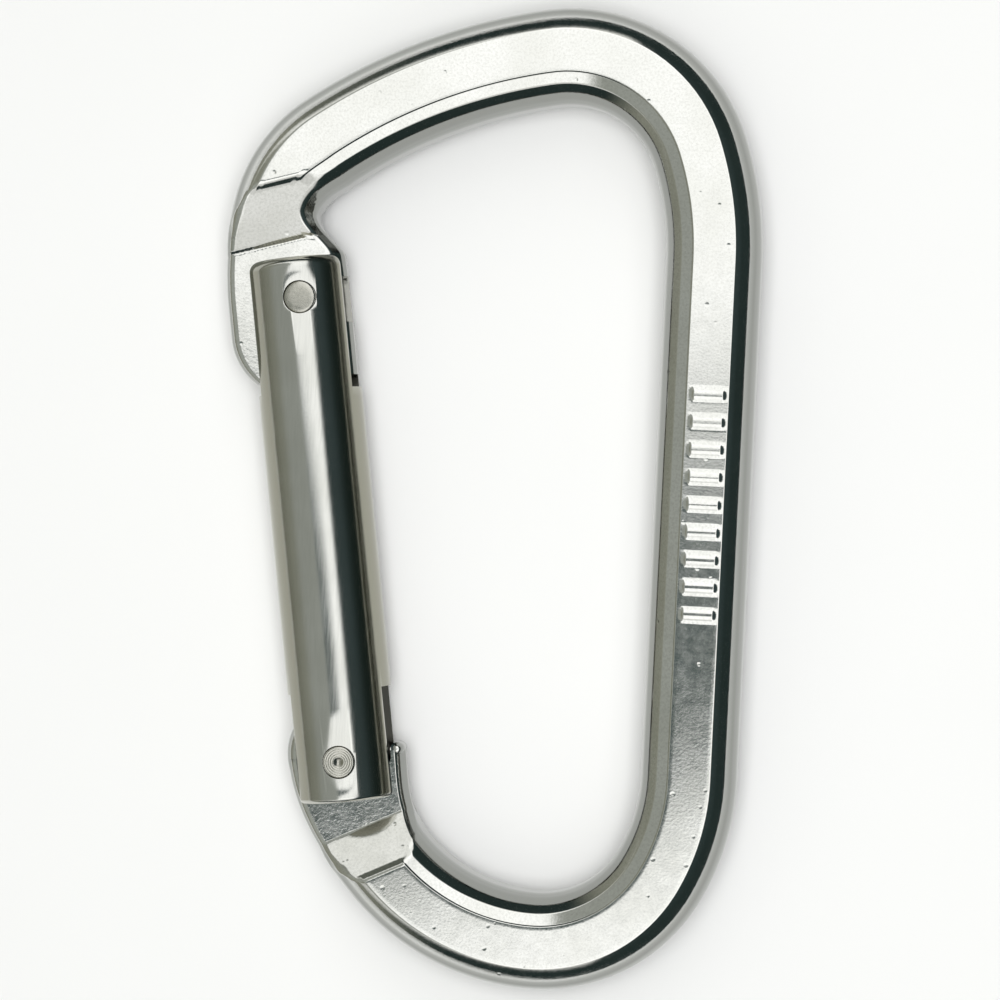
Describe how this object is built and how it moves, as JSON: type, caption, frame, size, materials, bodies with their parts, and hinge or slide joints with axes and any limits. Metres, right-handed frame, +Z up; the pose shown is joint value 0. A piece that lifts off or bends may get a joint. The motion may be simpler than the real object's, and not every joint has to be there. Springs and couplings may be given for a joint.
{
  "type": "carabiner",
  "caption": "Forged metal carabiner with a flat-sided bent bar body and a straight sprung gate that opens inwards on a rivet.",
  "frame": {"origin": "middle of the underside of the closed carabiner lying flat", "axes": "+Z up through the thickness, +Y along the spine towards the gate's latch end, +X from the gate side to the spine"},
  "size_m": [0.0578, 0.105, 0.0116],
  "materials": {
    "forged_aluminium": "tumbled and polished forging, satin with a soft shine",
    "turned_aluminium": "fine satin, drawn along the bar",
    "rivet": "turned head, ground flush",
    "spring_steel": "bright drawn wire",
    "plunger_steel": "plain bright steel"
  },
  "bodies": {
    "frame": {"body": "forged_aluminium"},
    "gate": {"gate": "turned_aluminium", "hinge_pin": "rivet", "latch_pin": "rivet", "gate_spring": "spring_steel"},
    "plunger": {"plunger": "plunger_steel"}
  },
  "joints": [
    {"name": "gate_hinge", "type": "hinge", "parent": "frame", "child": "gate", "pos_m": [-0.01341, -0.02911, 0.0057], "axis": [0, 0, -1], "range_deg": [0, 25], "stiffness_Nm_per_rad": 0.1, "springref_deg": -22.92},
    {"name": "plunger_slide", "type": "slide", "parent": "gate", "child": "plunger", "axis": [-0.1457, 0.9893, 0], "range_m": [0, 0.0018], "deforming": ["gate_spring"]}
  ],
  "couplings": [
    {"joint": "plunger_slide", "follows": "gate_hinge", "m_per_rad": 0.0037}
  ]
}
